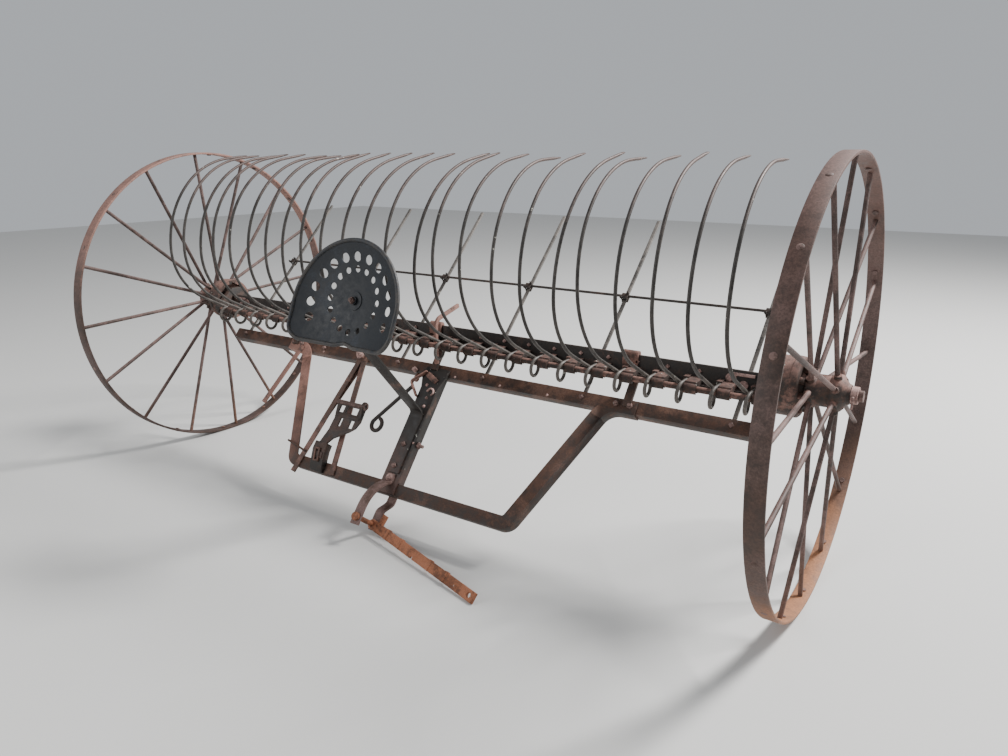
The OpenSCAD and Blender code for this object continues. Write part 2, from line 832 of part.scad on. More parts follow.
// Foot plate with a narrow neck, a flared right side, four slots, a round tread bar and a cheek with an eye
module foot_pedal() {
    plate_t = 8;
    tread_y = -370;
    tread_d = 16;
    cheek_t = 8;
    color(steel_dark)
        in_frame()
            translate([pedal_x, 0, pedal_z]) {
                linear_extrude(plate_t, center = true)
                    difference() {
                        polygon([[-12, -604], [28, -604], [28, -552], [48, -525], [82, -504], [112, -486], [138, -464],
                            [149, -434], [144, tread_y], [-10, tread_y], [9, -440], [6, -494], [-12, -556]]);
                        translate([42, -471]) square([14, 36]);
                        translate([98, -470]) square([22, 34]);
                        translate([14, -412]) square([26, 30]);
                        translate([52, -412]) square([64, 30]);
                    }
                translate([-10, tread_y, 0]) rotate([0, 90, 0]) cylinder(d = tread_d, h = 154);
                translate([10, -431, 0]) cube([130, 12, plate_t]);
                translate([144 - cheek_t, 0, 0])
                    rotate([90, 0, 90])
                        linear_extrude(cheek_t)
                            difference() {
                                union() {
                                    translate([tread_y + 4, 8]) circle(r = 15);
                                    polygon([[-430, -4], [-430, 4], [tread_y - 4, 22], [tread_y + 4, -7]]);
                                }
                                translate([tread_y + 4, 8]) circle(d = 10);
                            }
            }
}

// A round rod from the guide strap on the tongue, bent round into an open eye at its end
module trip_rod() {
    rod_d = 13;
    rod_len = 207;
    rod_dip = 5;
    color(steel_grey)
        in_frame()
            translate([-75.5, cross_y - 72, tongue_top + 8])
                rotate([0, rod_dip, 232]) {
                    rotate([0, 90, 0]) cylinder(d = rod_d, h = rod_len);
                    translate([rod_len, 0, 0]) wire_arc(rod_d - wire_step, 26, 290);
                }
}

// Guide strap bent out from the left of the tongue, catch block on top of it, and eye bolt on the cross bar
module latch_bracket() {
    strap_h = 15;
    guide_t = 6;
    color(rust_red)
        in_frame() {
            translate([-34, cross_y + 4, tongue_top + seat_gap])
                rotate(223)
                    linear_extrude(strap_h) strip_outline([[66, 12, 91], [66, 0, 0]], guide_t);
            translate([2, cross_y - 20, tongue_top]) rotate(-25) translate([-25, -11, 0]) cube([50, 22, 18]);
            translate([-104, cross_y, frame_z - 18])
                rotate([90, 0, 0]) {
                    cylinder(d = 14, h = 12);
                    translate([0, 0, 20])
                        rotate([0, 90, 0]) rotate_extrude() translate([12, 0]) circle(d = 8);
                }
        }
}

module side_brace() {
    color(rust_red)
        in_frame()
            translate([-draft_back_w / 2 - 13, 0, 0])
                flat_bar([0, cross_y + 16], [-70, cross_y - 280], frame_top, 22, 8);
}

// Cleaner rods under the cross bar, and the rod that lies across them
module at_cleaner() {
    in_frame()
        translate([0, cross_y + angle_t + seat_gap + cleaner_t * sin(cleaner_droop),
            frame_z - angle_t - seat_gap])
            rotate([-cleaner_droop, 0, 0]) children();
}

module cleaner_rods() {
    color(steel_grey)
        at_cleaner()
            for (k = cleaner_steps)
                translate([k * tooth_pitch - cleaner_w / 2, 0, -cleaner_t]) cube([cleaner_w, cleaner_len, cleaner_t]);
}

module cleaner_tie() {
    x_end = cleaner_steps[5] * tooth_pitch + 12;
    color(steel_grey)
        at_cleaner()
            translate([-x_end, tie_at, cleaner_tie_d / 2 + seat_gap])
                rotate([0, 90, 0]) cylinder(d = cleaner_tie_d, h = 2 * x_end);
}

cross_bar();
draft_frame();
tongue();
hitch_clevis();
hitch_pin();
hitch_link();
seat_pan();
seat_spring();
pedal_braces();
brace_tie();
pedal_bracket();
foot_pedal();
trip_rod();
latch_bracket();
hand_lever();
side_brace();
cleaner_rods();
cleaner_tie();
hinge_arms();
head_bar();
head_lugs();
hinge_pins();
tooth_rod();
tooth_holders();
teeth();
end_castings();
spindles();
spindle_collars();
rim(1);  // rim_right
spokes(1);  // spokes_right
hub(1);  // hub_right
rim(-1);  // rim_left
spokes(-1);  // spokes_left
hub(-1);  // hub_left
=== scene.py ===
"""Looks of a self-dumping sulky hay rake, parked with its front frame down and its teeth up.

Lengths are in metres, +X is towards the right-hand wheel, -Y is forward and +Z is up.
"""

import json
import math

import bmesh
import bpy
from bpy.props import FloatProperty, FloatVectorProperty, PointerProperty
from mathutils import Matrix, Vector

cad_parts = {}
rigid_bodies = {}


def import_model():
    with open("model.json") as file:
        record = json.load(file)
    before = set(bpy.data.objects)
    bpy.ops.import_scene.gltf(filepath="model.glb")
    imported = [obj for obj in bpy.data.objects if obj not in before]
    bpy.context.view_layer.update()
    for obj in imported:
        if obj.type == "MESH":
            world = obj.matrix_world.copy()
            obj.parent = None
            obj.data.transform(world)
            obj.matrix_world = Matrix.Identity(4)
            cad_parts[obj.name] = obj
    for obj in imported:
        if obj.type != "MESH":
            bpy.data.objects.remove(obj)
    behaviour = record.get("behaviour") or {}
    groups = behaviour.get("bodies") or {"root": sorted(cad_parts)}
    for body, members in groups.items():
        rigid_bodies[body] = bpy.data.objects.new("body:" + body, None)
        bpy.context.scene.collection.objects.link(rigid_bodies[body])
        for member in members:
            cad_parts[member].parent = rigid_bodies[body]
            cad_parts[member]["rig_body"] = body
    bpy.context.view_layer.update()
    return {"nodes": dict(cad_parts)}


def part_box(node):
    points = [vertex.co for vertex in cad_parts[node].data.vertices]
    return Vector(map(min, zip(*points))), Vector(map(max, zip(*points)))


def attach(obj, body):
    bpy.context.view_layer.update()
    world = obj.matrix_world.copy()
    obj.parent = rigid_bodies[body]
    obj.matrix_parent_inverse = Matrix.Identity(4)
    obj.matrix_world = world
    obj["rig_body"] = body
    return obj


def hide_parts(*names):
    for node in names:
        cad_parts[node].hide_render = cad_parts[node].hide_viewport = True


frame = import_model()

bl_info = {
    "name": "Sulky hay rake",
    "version": (1, 0, 0),
    "blender": (4, 5, 0),
    "location": "3D View > Sidebar > Hay rake",
    "description": "Builds the looks of a self-dumping sulky hay rake around its packed solids",
    "category": "Object",
}

# Wheels: height of the axle, middle and radius of the rims, each wheel's side, name and turn of its spokes
# in degrees, and its two rows of spokes along its axis
AXLE_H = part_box("rim_right")[1][2] / 2
WHEEL_X = (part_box("rim_right")[0][0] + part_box("rim_right")[1][0]) / 2
RIM_R = AXLE_H
RIM_IN_R = RIM_R - 0.009
WHEELS = ((1, "right", -1.7), (-1, "left", 3.3))
SPOKE_COUNT = 16
INNER_ROW = -0.040
OUTER_ROW = 0.033

# Front frame, about the axle line in its own level attitude: the cross bar's heel and top, and the tops of
# the draft frame and the tongue
FRAME_PITCH = math.radians(51)
CROSS_Y = -0.166
FRAME_Z = -0.062
FRAME_TOP = -0.056
TONGUE_TOP = -0.049
PEDAL_X = -0.380
PEDAL_Z = -0.023
TREAD_Y = -0.370

# Cleaner rods: their places in tooth pitches, how much narrower they are than their solids, and their tie
CLEANER_STEPS = (-11, -6, -2, 2, 6, 11)
CLEANER_NARROW = 0.75
CLEANER_TIE = Vector((0, 0.3039, -0.1183))

# Rake head, about the axle line: the head bar's front face, the tooth rod and the coils of the teeth
HEAD_FACE_Y = -0.030
TOOTH_COUNT = 24
TOOTH_PITCH = 0.107
ROD_Y = -0.104
ROD_Z = -0.030
COIL_Y = ROD_Y - 0.004
COIL_Z = ROD_Z - 0.015
COIL_R = 0.032

# How deep a rivet's head starts in its face, and the longest straight step of a wire
RIVET_SUNK = 0.0002
LONGEST_STEP = 0.06

# From places about the axle line, and from places in the front frame's own level attitude
ON_AXLE = Matrix.Translation((0, 0, AXLE_H))
ON_FRAME = ON_AXLE @ Matrix.Rotation(FRAME_PITCH, 4, "X")


def turned(angle_deg, axis):
    """A turn about X, Y or Z."""
    return Matrix.Rotation(math.radians(angle_deg), 4, axis)


def at(x, y, z):
    """A shift along all three axes."""
    return Matrix.Translation((x, y, z))


# Materials


# How much finer a finish's mottle and grit are than its patches, how far a fade's edge wanders, in metres,
# and the colour of lichen
MOTTLE_FINER = 6
GRIT_FINER = 42
FADE_WANDER = 0.06
LICHEN = (0.40, 0.39, 0.34)


class Shader:
    """A node material built one node at a time."""

    def __init__(self, name):
        self.material = bpy.data.materials.new(name)
        self.material.use_nodes = True
        self.tree = self.material.node_tree
        self.surface = self.tree.nodes["Principled BSDF"]
        self.place = self.add("ShaderNodeTexCoord")

    def add(self, kind, inputs=(), **settings):
        """A new node, with values or links for its inputs."""
        node = self.tree.nodes.new(kind)
        for key, value in settings.items():
            setattr(node, key, value)
        for socket, value in dict(inputs).items():
            self.feed(node, socket, value)
        return node

    def feed(self, node, socket, value):
        """Links a socket to an input, or sets the input to a value."""
        if isinstance(value, bpy.types.NodeSocket):
            self.tree.links.new(value, node.inputs[socket])
        else:
            node.inputs[socket].default_value = value

    def noise(self, scale, detail=6.0, rough=0.6, shift=0.0):
        """Noise over the object's own coordinates."""
        spread = self.add(
            "ShaderNodeMapping",
            {"Vector": self.place.outputs["Object"], "Location": (shift, 0.7 * shift, 0.3 * shift)},
        )
        node = self.add(
            "ShaderNodeTexNoise",
            {"Vector": spread.outputs[0], "Scale": scale, "Detail": detail, "Roughness": rough},
        )
        return node.outputs["Fac"]

    def between(self, value, low, high, out_low=0.0, out_high=1.0):
        """A value carried softly from one range to another."""
        node = self.add(
            "ShaderNodeMapRange",
            {"Value": value, "From Min": low, "From Max": high, "To Min": out_low, "To Max": out_high},
            interpolation_type="SMOOTHSTEP",
        )
        return node.outputs[0]

    def maths(self, how, a, b):
        """Two values put together."""
        return self.add("ShaderNodeMath", {0: a, 1: b}, operation=how).outputs[0]

    def mix(self, share, a, b, blend="MIX"):
        """Two colours mixed by a share."""
        node = self.add("ShaderNodeMix", data_type="RGBA", blend_type=blend)
        self.feed(node, 0, share)
        for socket, value in ((6, a), (7, b)):
            self.feed(node, socket, value if isinstance(value, bpy.types.NodeSocket) else (*value, 1.0))
        return node.outputs[2]

    def upward(self):
        """How far a face looks up."""
        parts = self.add("ShaderNodeSeparateXYZ", {0: self.place.outputs["Normal"]})
        return parts.outputs[2]

    def along(self, axis):
        """How far a point lies along X, Y or Z, in metres."""
        return self.add("ShaderNodeSeparateXYZ", {0: self.place.outputs["Object"]}).outputs[axis]

    def finish(self, colour, rough, height, strength, metallic=0.0, distance=0.0015):
        """Puts colour, roughness and bump on the surface and gives its material."""
        self.feed(self.surface, "Base Color", colour)
        self.feed(self.surface, "Roughness", rough)
        self.surface.inputs["Metallic"].default_value = metallic
        bump = self.add("ShaderNodeBump", {"Height": height, "Distance": distance, "Strength": strength})
        self.feed(self.surface, "Normal", bump.outputs[0])
        return self.material


def weathered(name, dark, rust, paint, paint_share=0.5, scale=7.0, top=None, top_light_share=0.7, lichen=0.0,
              gloss=0.62, bump=0.5, metallic=0.0, soft=0.09, fades=()):
    """Old steel: dark scale and rust in patches, what is left of its paint, another colour painted where
    faces look up as painted top light, and fades to other colours, each as an axis, where it starts and ends,
    its colour and its share."""
    s = Shader(name)
    patches = s.noise(scale, 7.0, 0.62)
    mottle = s.noise(scale * MOTTLE_FINER, 8.0, 0.7, shift=3.1)
    grit = s.noise(scale * GRIT_FINER, 5.0, 0.75, shift=1.7)
    colour = s.mix(s.between(mottle, 0.36, 0.64), dark, rust)
    edge = s.maths("ADD", patches, s.maths("MULTIPLY", s.maths("SUBTRACT", mottle, 0.5), 0.55))
    middle = 0.5 - 0.5 * (paint_share - 0.5)
    worn = s.between(edge, middle - soft, middle + soft)
    faded = s.mix(s.between(grit, 0.3, 0.7), paint, tinted(paint, 1.3, 0.01))
    colour = s.mix(worn, colour, faded)
    # Painted top light: the top colour goes on faces that look up, in place of light from above.
    if top:
        up = s.between(s.upward(), 0.25, 0.8, 0.0, top_light_share)
        colour = s.mix(s.maths("MULTIPLY", up, s.between(mottle, 0.3, 0.6, 0.35, 1.0)), colour, top)
    for axis, start, end, tint, share in fades:
        reach = s.maths("ADD", s.along(axis), s.between(patches, 0.3, 0.7, -FADE_WANDER, FADE_WANDER))
        spread = s.between(reach, start, end, 0.0, share)
        spread = s.maths("MULTIPLY", spread, s.between(mottle, 0.3, 0.55, 0.55, 1.0))
        colour = s.mix(spread, colour, tint)
    shade = s.between(grit, 0.25, 0.75, 0.66, 1.3)
    shade_colour = s.add("ShaderNodeCombineColor", {0: shade, 1: shade, 2: shade}).outputs[0]
    colour = s.mix(1.0, colour, shade_colour, "MULTIPLY")
    if lichen:
        spots = s.noise(46.0, 4.0, 0.55, shift=9.3)
        colour = s.mix(s.between(spots, 0.72 - lichen, 0.76 - lichen), colour, LICHEN)
    rough = s.between(mottle, 0.2, 0.8, gloss, min(1.0, gloss + 0.3))
    height = s.maths("ADD", s.maths("MULTIPLY", mottle, 0.6), s.maths("MULTIPLY", grit, 0.4))
    return s.finish(colour, rough, height, bump, metallic)


def tinted(colour, share, lift=0.0):
    """A colour made darker or lighter by a share, and lifted towards grey."""
    return [min(1.0, share * c + lift) for c in colour]


def make_finishes(looks):
    """The finishes of the rake by name, from the colours on the panel."""
    dark, rust, orange = looks.dark_scale, looks.brown_rust, looks.orange_rust
    paint, steel, ochre, blue = looks.faded_paint, looks.old_steel, looks.ochre_soil, looks.seat_blue
    mauve = looks.spoke_mauve
    # Every top colour below is painted top light on faces that look up, mostly lighter than the rest of the
    # finish.
    return {
        "bars": weathered(
            "rusted bars", dark, tinted(rust, 0.8), tinted(rust, 1.5), paint_share=0.35, scale=5.0,
            top=tinted(orange, 0.6), top_light_share=0.42, gloss=0.55),
        "draft": weathered(
            "rusted draft frame", dark, tinted(rust, 0.75), tinted(rust, 1.3), paint_share=0.3, scale=5.0,
            top=tinted(orange, 0.5), top_light_share=0.38, gloss=0.55,
            fades=[(0, -0.50, -0.74, tinted(paint, 1.45), 0.9)]),
        "web": weathered(
            "blackened tongue", tinted(dark, 0.5), tinted(dark, 1.1), tinted(rust, 1.2), paint_share=0.2,
            scale=8.0, top=tinted(dark, 0.7), top_light_share=0.5, lichen=0.03, gloss=0.45,
            fades=[(2, 0.30, 0.16, tinted(paint, 0.6), 0.7)]),
        "strap": weathered(
            "mauve strap", tinted(rust, 1.1), tinted(mauve, 0.75), tinted(mauve, 1.0), gloss=0.6),
        "head": weathered(
            "head bar scale", tinted(dark, 0.75), tinted(dark, 1.7), tinted(rust, 0.8), paint_share=0.3,
            scale=6.0, top=tinted(rust, 0.9), top_light_share=0.5, gloss=0.5),
        # The teeth's first fade is painted top light: their upper ends turn a lighter mauve where they would
        # catch the light. Their second fade makes them a lighter grey below 0.69 m.
        "teeth": weathered(
            "spring tooth steel", tinted(steel, 0.35), tinted(steel, 0.6), tinted(steel, 0.85),
            paint_share=0.35, scale=9.0, lichen=0.03, gloss=0.40, bump=0.2, metallic=0.25, soft=0.2,
            fades=[(2, 1.10, 1.36, tinted(mauve, 0.95), 0.55), (2, 0.74, 0.69, tinted(steel, 2.1), 0.6)]),
        "coils": weathered(
            "crusted holders", tinted(dark, 0.7), tinted(rust, 0.7), tinted(paint, 0.7), paint_share=0.25,
            scale=14.0, top=tinted(paint, 1.0), top_light_share=0.45, lichen=0.04),
        "paint": weathered(
            "faded red castings", dark, rust, paint, paint_share=0.66, scale=8.0,
            top=tinted(paint, 1.15), top_light_share=0.4, lichen=0.02),
        "hubs": weathered(
            "faded red hubs", tinted(dark, 1.0), tinted(rust, 0.9), tinted(paint, 0.8), paint_share=0.4,
            scale=9.0, top=tinted(paint, 1.3, 0.01), top_light_share=0.7, lichen=0.02, gloss=0.55),
        "rod_paint": weathered(
            "faded red rod", tinted(dark, 0.9), tinted(rust, 0.8), tinted(paint, 0.8), paint_share=0.35,
            scale=10.0, top=tinted(paint, 1.15), top_light_share=0.9, lichen=0.03),
        # The rims' first fade is faded paint made lighter and pinker towards the top of the wheel, partly as
        # painted top light. Their second fade is a lighter rust lower down, and their third is ochre rust and
        # soil near the ground.
        "rims": weathered(
            "rim rust", tinted(rust, 0.45), tinted(rust, 0.9), tinted(mauve, 0.6), paint_share=0.45,
            scale=4.0, gloss=0.5, soft=0.16,
            fades=[(2, 0.80, 1.30, tinted(paint, 0.75), 0.5), (2, 0.60, 0.25, tinted(rust, 1.3), 0.6),
                   (2, 0.36, 0.0, ochre, 1.0)]),
        "spokes": weathered(
            "spoke rust", tinted(rust, 0.5), tinted(mauve, 0.42), tinted(mauve, 0.8), paint_share=0.42,
            scale=6.0, top=tinted(mauve, 1.45), top_light_share=0.6, gloss=0.5, soft=0.14,
            fades=[(2, 0.30, 0.05, tinted(ochre, 0.6), 0.4)]),
        # The left rim's fade is red paint made lighter towards the top of the wheel, partly as painted top
        # light.
        "left_rim": weathered(
            "rim rust and red paint", tinted(rust, 0.45), tinted(rust, 0.9), tinted(mauve, 0.5),
            paint_share=0.4, scale=4.0, gloss=0.5, soft=0.16,
            fades=[(2, 0.72, 1.12, tinted(paint, 1.35), 0.85)]),
        "braces": weathered(
            "pink-brown braces", tinted(rust, 0.7), tinted(rust, 1.3), tinted(paint, 0.8), paint_share=0.42,
            top=tinted(paint, 0.9), top_light_share=0.45, gloss=0.55),
        "link": weathered(
            "orange link rust", tinted(orange, 0.55), orange, tinted(orange, 1.35), scale=11.0,
            gloss=0.65, lichen=0.01),
        # The seat's blue cast is partly a painted reflection of the sky.
        "seat": weathered(
            "seat enamel", tinted(blue, 0.6), tinted(blue, 0.95), tinted(blue, 1.4, 0.002), paint_share=0.3,
            top=tinted(blue, 1.2, 0.003), top_light_share=0.3, gloss=0.44, bump=0.15),
        "seat_rim": weathered(
            "seat worn rim", tinted(blue, 1.3), tinted(steel, 0.35), tinted(steel, 0.6), paint_share=0.45,
            scale=14.0, gloss=0.42, bump=0.2, soft=0.16),
        "bolts": weathered(
            "bolt rust", tinted(rust, 0.9), tinted(mauve, 0.7), tinted(mauve, 1.1), scale=20.0,
            lichen=0.02, gloss=0.55),
        "pale_bolts": weathered(
            "pale bolt heads", tinted(mauve, 1.0), tinted(mauve, 1.7), tinted(mauve, 2.4, 0.03),
            paint_share=0.55, scale=24.0, gloss=0.6),
        "grey": weathered(
            "weathered grey rods", tinted(steel, 0.6), tinted(steel, 1.2), tinted(steel, 1.9), scale=8.0,
            lichen=0.03, gloss=0.5, soft=0.15),
    }


finishes = {}


# Shaping


def new_piece(bm, name, finish, body, smooth_angle=35.0, stands_for=()):
    """Ends a bmesh as a piece of the rake with its finish, its body and the nodes it stands for."""
    mesh = bpy.data.meshes.new(name)
    bm.to_mesh(mesh)
    bm.free()
    kept = mesh.attributes.get("custom_normal")
    if kept:
        mesh.attributes.remove(kept)
    mesh.shade_smooth()
    mesh.set_sharp_from_angle(angle=math.radians(smooth_angle))
    mesh.materials.append(finishes[finish])
    piece = bpy.data.objects.new(name, mesh)
    bpy.context.scene.collection.objects.link(piece)
    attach(piece, body)
    for node in stands_for:
        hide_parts(node)
    return piece


def worn_edges(bm, width, angle_deg=30.0, segments=2):
    """Rounds every edge that turns by more than an angle."""
    limit = math.radians(angle_deg)
    sharp = [e for e in bm.edges if len(e.link_faces) == 2 and e.calc_face_angle() > limit]
    bmesh.ops.bevel(bm, geom=sharp, offset=width, offset_type="OFFSET", segments=segments, profile=0.5,
                    affect="EDGES", clamp_overlap=True, material=-1)


def node_copy(node):
    """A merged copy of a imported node, without the triangle edges on its flat faces."""
    bm = bmesh.new()
    bm.from_mesh(frame["nodes"][node].data)
    bmesh.ops.remove_doubles(bm, verts=bm.verts, dist=0.00001)
    bmesh.ops.dissolve_limit(bm, angle_limit=math.radians(0.4), verts=bm.verts, edges=bm.edges,
                             use_dissolve_boundaries=False, delimit=set())
    return bm


def edges_of(verts):
    """The edges at some vertices, each once and always in the same order."""
    return list(dict.fromkeys(e for v in verts for e in v.link_edges))


def ring(bm, place, radius, sides):
    """The edges of a circle that faces along the +X of a place."""
    made = bmesh.ops.create_circle(bm, cap_ends=False, segments=sides, radius=radius,
                                   matrix=place @ turned(90, "Y"))
    return edges_of(made["verts"])


def carry_ring(bm, edges, move):
    """Extrudes a ring and moves its new end."""
    made = bmesh.ops.extrude_edge_only(bm, edges=edges)["geom"]
    verts = [g for g in made if isinstance(g, bmesh.types.BMVert)]
    bmesh.ops.transform(bm, matrix=move, verts=verts)
    return [g for g in made if isinstance(g, bmesh.types.BMEdge)]


def close_ring(bm, edges):
    """Closes the open end of a wire."""
    bmesh.ops.edgeloop_fill(bm, edges=edges)


def straight(run):
    """A row of bend_wire without a bend."""
    return (run, 0, 0, 0)


def bend_wire(bm, place, rows, d_start, d_end, sides=10, step_deg=6.0, close_start=True, tip=()):
    """A round wire from a place along its +X, through rows of straight run, bend radius, bend angle to the
    left and shift along the bend's axis, and then through rows of run, thickness and width at its tip."""
    length = sum(run + radius * abs(math.radians(angle)) for run, radius, angle, _ in rows)
    edges = ring(bm, place, d_start / 2, sides)
    if close_start:
        close_ring(bm, edges)
    gone = 0.0
    thick = d_start

    def advance(step, part):
        nonlocal place, edges, gone, thick
        gone += part
        now = d_start + (d_end - d_start) * gone / length
        old_place = place
        place = place @ step
        shrink = Matrix.Diagonal((1, now / thick, now / thick, 1))
        edges = carry_ring(bm, edges, place @ shrink @ old_place.inverted())
        thick = now

    for run, radius, angle, shift in rows:
        if run > 0:
            parts = max(1, round(run / LONGEST_STEP))
            for _ in range(parts):
                advance(at(run / parts, 0, 0), run / parts)
        if angle:
            side = 1 if angle > 0 else -1
            steps = max(1, math.ceil(abs(angle) / step_deg))
            part = angle / steps
            turn = at(0, side * radius, shift / steps) @ turned(part, "Z") @ at(0, -side * radius, 0)
            for _ in range(steps):
                advance(turn, radius * abs(math.radians(part)))
    for run, thin, wide in tip:
        old_place = place
        place = place @ at(run, 0, 0)
        edges = carry_ring(bm, edges, place @ Matrix.Diagonal((1, thin, wide, 1)) @ old_place.inverted())
    close_ring(bm, edges)
    return place


def head_on(bm, place, size, height, sides=6, worn=0.0012):
    """A bolt head or nut standing on a face that looks along the +Z of a place."""
    made = bmesh.ops.create_cone(bm, cap_ends=True, segments=sides, radius1=size / 2, radius2=size / 2 * 0.97,
                                 depth=height, matrix=place @ at(0, 0, height / 2))
    bmesh.ops.bevel(bm, geom=edges_of(made["verts"]), offset=worn, offset_type="OFFSET", segments=1,
                    profile=0.5, affect="EDGES", clamp_overlap=True, material=-1)


def bolt_on(bm, place, size, height, sides, tail):
    """A nut with the end of its bolt standing out of it."""
    head_on(bm, place, size, height, sides)
    sunk = 0.001
    bmesh.ops.create_cone(bm, cap_ends=True, segments=12, radius1=size * 0.27, radius2=size * 0.24,
                          depth=tail + 2 * sunk, matrix=place @ at(0, 0, height + tail / 2 - sunk))


def rivet_on(bm, place, size, height):
    """A low round rivet head."""
    made = bmesh.ops.create_uvsphere(bm, u_segments=14, v_segments=8, radius=size / 2,
                                     matrix=Matrix.Identity(4))
    low = [v for v in made["verts"] if v.co.z < -0.0001]
    bmesh.ops.delete(bm, geom=low, context="VERTS")
    top = [v for v in made["verts"] if v.is_valid]
    bmesh.ops.transform(bm, matrix=place @ Matrix.Diagonal((1, 1, 2 * height / size, 1)), verts=top)
    close_ring(bm, [e for e in edges_of(top) if len(e.link_faces) == 1])


def lathe(bm, place, outline, steps=40):
    """Turns a closed outline, given as distances along and out from the +X of a place, into a ring."""
    verts = [bm.verts.new(place @ Vector((along, out, 0))) for along, out in outline]
    edges = [bm.edges.new(pair) for pair in zip(verts, verts[1:] + verts[:1])]
    bmesh.ops.spin(bm, geom=verts + edges, cent=place.translation, axis=place.to_3x3() @ Vector((1, 0, 0)),
                   dvec=(0, 0, 0), angle=2 * math.pi, steps=steps, use_merge=True, use_duplicate=False)


def block(bm, place, size, worn, narrow=(1, 1), rise=0.0):
    """A block with rounded edges that stands on a place, narrowed at its far end and sloped along its +X."""
    made = bmesh.ops.create_cube(bm, size=1)
    for v in made["verts"]:
        far = v.co.x > 0
        v.co.y *= size[1] * (narrow[0] if far else 1)
        v.co.z = (v.co.z + 0.5) * size[2] * (narrow[1] if far and v.co.z > 0 else 1) + (rise if far else 0)
        v.co.x = (v.co.x + 0.5) * size[0]
    bmesh.ops.transform(bm, matrix=place, verts=made["verts"])
    bmesh.ops.bevel(bm, geom=edges_of(made["verts"]), offset=worn, offset_type="OFFSET", segments=2,
                    profile=0.5, affect="EDGES", clamp_overlap=True, material=-1)


def tooth_x(i):
    """The place of a tooth along the rake."""
    return (i - (TOOTH_COUNT - 1) / 2) * TOOTH_PITCH


# Settings


def colour(name, description, default):
    """A colour on the panel."""
    return FloatVectorProperty(name=name, description=description, default=default, subtype="COLOR", size=3,
                               min=0, max=1)


def length(name, description, default):
    """A length on the panel."""
    return FloatProperty(name=name, description=description, default=default, unit="LENGTH", min=0)


class RakeLooks(bpy.types.PropertyGroup):
    """Colours of the rake's finishes."""

    dark_scale: colour("Dark scale", "Brown-black scale on the bars", (0.020, 0.0145, 0.0115))
    brown_rust: colour("Brown rust", "Rust in patches on bars, rims and spokes", (0.072, 0.038, 0.026))
    # Orange rust is the link's real rust; on the up-facing faces of the bars and draft frame it is painted
    # top light.
    orange_rust: colour("Orange rust", "Fresh rust on the link and faces that look up", (0.230, 0.085, 0.040))
    ochre_soil: colour("Ochre soil", "Rust and dried soil low on the wheels", (0.330, 0.140, 0.062))
    faded_paint: colour("Faded red paint", "What is left of the red paint", (0.215, 0.110, 0.085))
    spoke_mauve: colour("Dusty mauve", "Weathered undercoat on spokes and straps", (0.150, 0.090, 0.077))
    old_steel: colour("Old spring steel", "Grey steel of the teeth and rods", (0.075, 0.065, 0.057))
    # Seat enamel: blue-black, its blue cast partly a painted reflection of the sky.
    seat_blue: colour("Seat enamel", "Blue-black enamel of the seat", (0.0095, 0.0125, 0.0175))


class RakeSizes(bpy.types.PropertyGroup):
    """Sizes of the small parts that the solids leave out."""

    edge_wear: length("Edge wear", "Radius to which handled edges are worn", 0.0010)
    tooth_root_d: length("Tooth root", "Diameter of a tooth at its coil", 0.0122)
    tooth_tip_d: length("Tooth tip", "Diameter of a tooth at its tip", 0.0110)
    bolt_size: length("Bolt heads", "Width of the common bolt heads", 0.022)
    rivet_size: length("Rim rivets", "Width of the rivet heads on the rims", 0.020)


class RakeStage(bpy.types.PropertyGroup):
    """Floor, light and camera."""

    floor_half: length("Floor half width", "Half the width of the pale floor", 14.0)
    key_power: FloatProperty(
        name="Key light", description="Power of the main soft light", default=1250.0, unit="POWER")
    fill_power: FloatProperty(
        name="Fill light", description="Power of the fill light", default=150.0, unit="POWER")
    focal: FloatProperty(
        name="Focal length", description="Focal length on a 36 mm sensor", default=27.53, unit="CAMERA")


def worn_node(node, finish, width=None):
    """Puts a copy of a node with worn edges in its place."""
    bm = node_copy(node)
    worn_edges(bm, width or bpy.context.scene.rake_sizes.edge_wear)
    body = frame["nodes"][node]["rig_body"]
    return new_piece(bm, node + "_worn", finish, body, 35.0, (node,))


def paint_node(node, finish):
    """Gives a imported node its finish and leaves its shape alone."""
    mesh = frame["nodes"][node].data
    mesh.materials.clear()
    mesh.materials.append(finishes[finish])


class MakeFinishes(bpy.types.Operator):
    """Make the finishes that every piece of the rake uses"""

    bl_idname = "hay_rake.finishes"
    bl_label = "Finishes"

    def execute(self, context):
        finishes.update(make_finishes(context.scene.rake_looks))
        return {"FINISHED"}


# The collar at the end of the tread bar, as places along and out from the bar's axis
TREAD_COLLAR = (
    (0.0, 0.0075), (-0.001, 0.0145), (0.001, 0.0165), (0.0095, 0.0165), (0.0115, 0.0145), (0.0105, 0.0075),
)

# The tread bar, how far the cleaner rods are rounded and the trip rod swollen, and half the size of the pedal
# bracket's mouth with the width of its lips inside that
TREAD_LENGTH = 0.150
TREAD_D = 0.0185
CLEANER_WORN = 0.0028
TRIP_SWELL = 0.0018
MOUTH_HALF_X = 0.028
MOUTH_HALF_Y = 0.0135
MOUTH_LIP = 0.003


def make_tread_bar():
    """The tread bar of the foot pedal and the collar at its end."""
    bm = bmesh.new()
    start = ON_FRAME @ at(PEDAL_X - 0.012, TREAD_Y, PEDAL_Z + 0.002)
    bend_wire(bm, start, [straight(TREAD_LENGTH)], TREAD_D, TREAD_D, 16)
    lathe(bm, start @ at(TREAD_LENGTH - 0.002, 0.002, 0.004), TREAD_COLLAR, 24)
    bmesh.ops.recalc_face_normals(bm, faces=bm.faces)
    new_piece(bm, "pedal_tread_bar", "bolts", "front_frame", 40.0)


